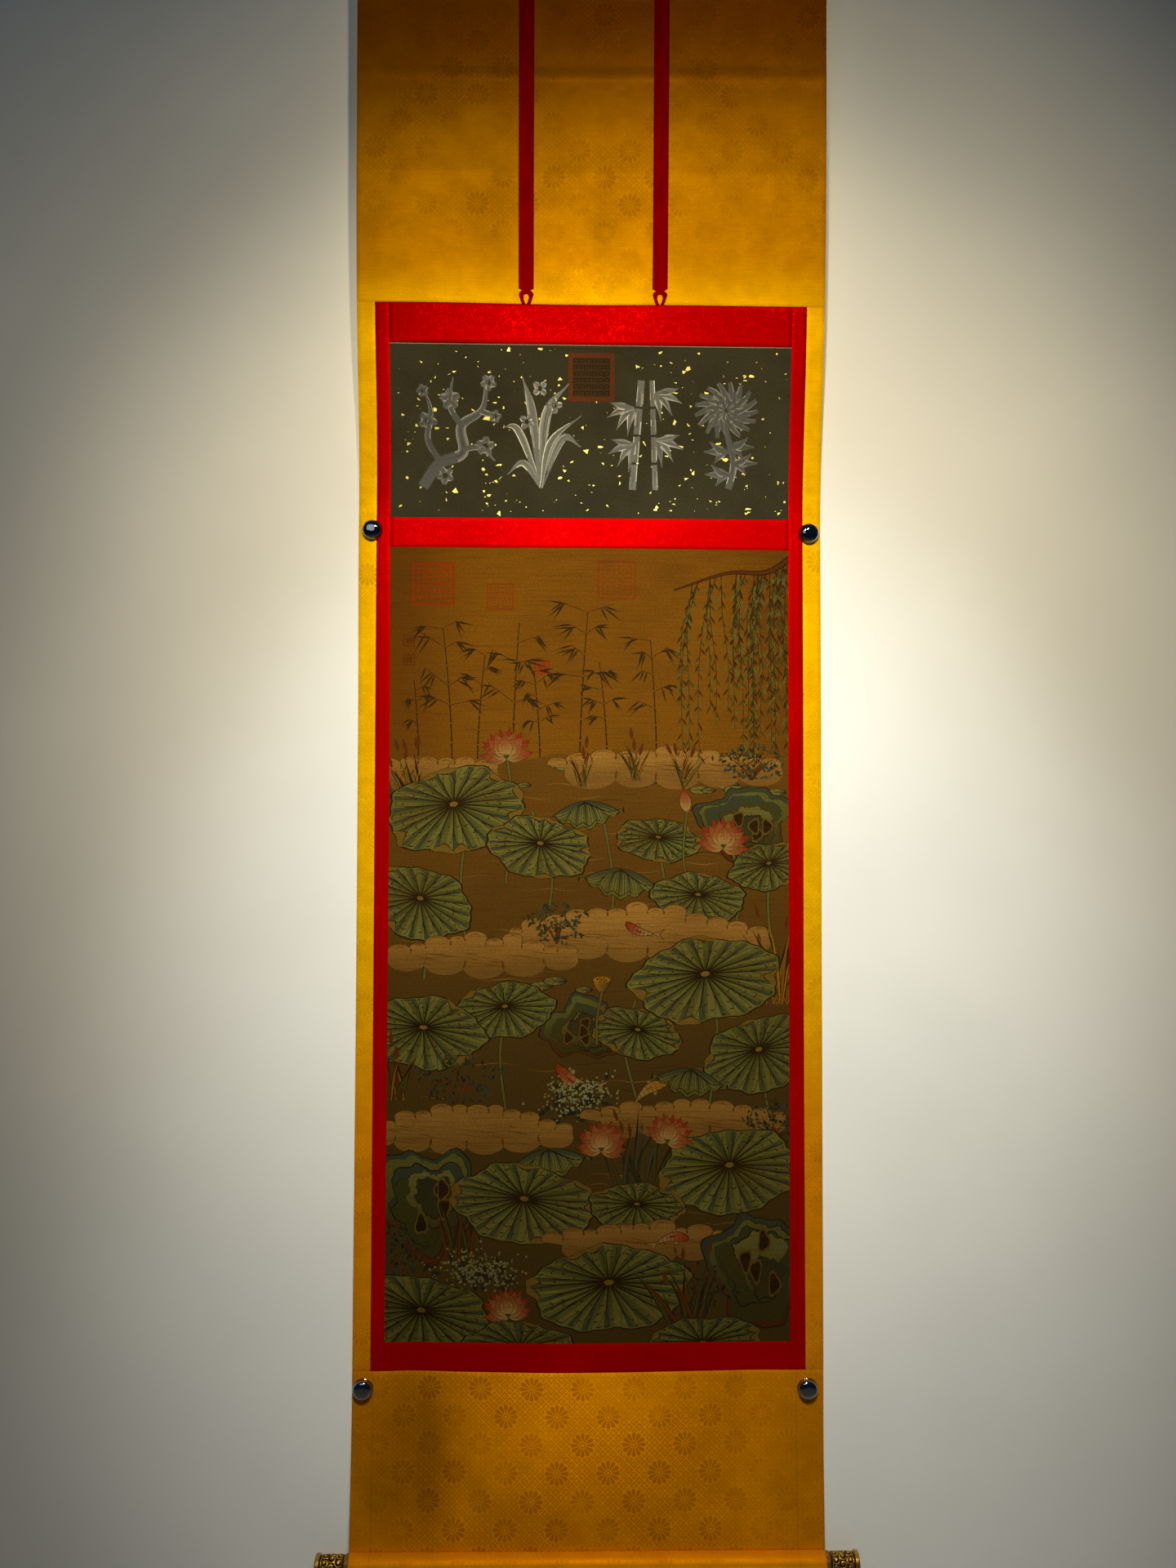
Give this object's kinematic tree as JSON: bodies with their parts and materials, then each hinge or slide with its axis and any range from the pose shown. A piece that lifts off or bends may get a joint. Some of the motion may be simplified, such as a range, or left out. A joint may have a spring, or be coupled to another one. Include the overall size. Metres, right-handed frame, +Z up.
{
  "type": "chinese hanging scroll painting on a wrapped roller, with wall pins",
  "caption": "Tall silk scroll with gold damask head, foot and sides, red borders, dark heading, painted panel, ribbons, wrapped roller with gilt knobs, and domed wall pins.",
  "frame": {"origin": "middle of the top edge, halfway through the thickness of the cloth", "axes": "+Z up along the scroll, +X to the right of somebody who faces it, +Y away from them, towards the wall"},
  "size_m": [0.6608, 0.052, 1.9824],
  "materials": {
    "gold_damask": "golden yellow silk damask with chrysanthemum roundels, soft sheen",
    "red_silk": "bright red silk damask with faint cloud scrolls",
    "ribbon_silk": "deep red silk ribbon with a fine cross rib",
    "dark_paper": "dark green black mounted paper with gold flecks and silver ink",
    "painted_silk": "brown gold silk painted in blue green, cream and ochre",
    "gilt": "carved antique gilt with dark hollows",
    "pale_gilt": "pale polished ring",
    "chrome": "mirror chrome"
  },
  "bodies": {
    "root": {"head_panel": "gold_damask", "side_strip_left": "gold_damask", "side_strip_right": "gold_damask", "foot_panel": "gold_damask", "red_strip_left": "red_silk", "red_strip_right": "red_silk", "red_band_top": "red_silk", "red_band_middle": "red_silk", "red_band_bottom": "red_silk", "heading_panel": "dark_paper", "painting_panel": "painted_silk", "ribbon_left": "ribbon_silk", "ribbon_right": "ribbon_silk", "roller": "gold_damask", "ferrule_left": "pale_gilt", "ferrule_right": "pale_gilt", "knob_left": "gilt", "knob_right": "gilt", "pin_upper_left": "chrome", "pin_upper_right": "chrome", "pin_lower_left": "chrome", "pin_lower_right": "chrome"}
  },
  "joints": []
}
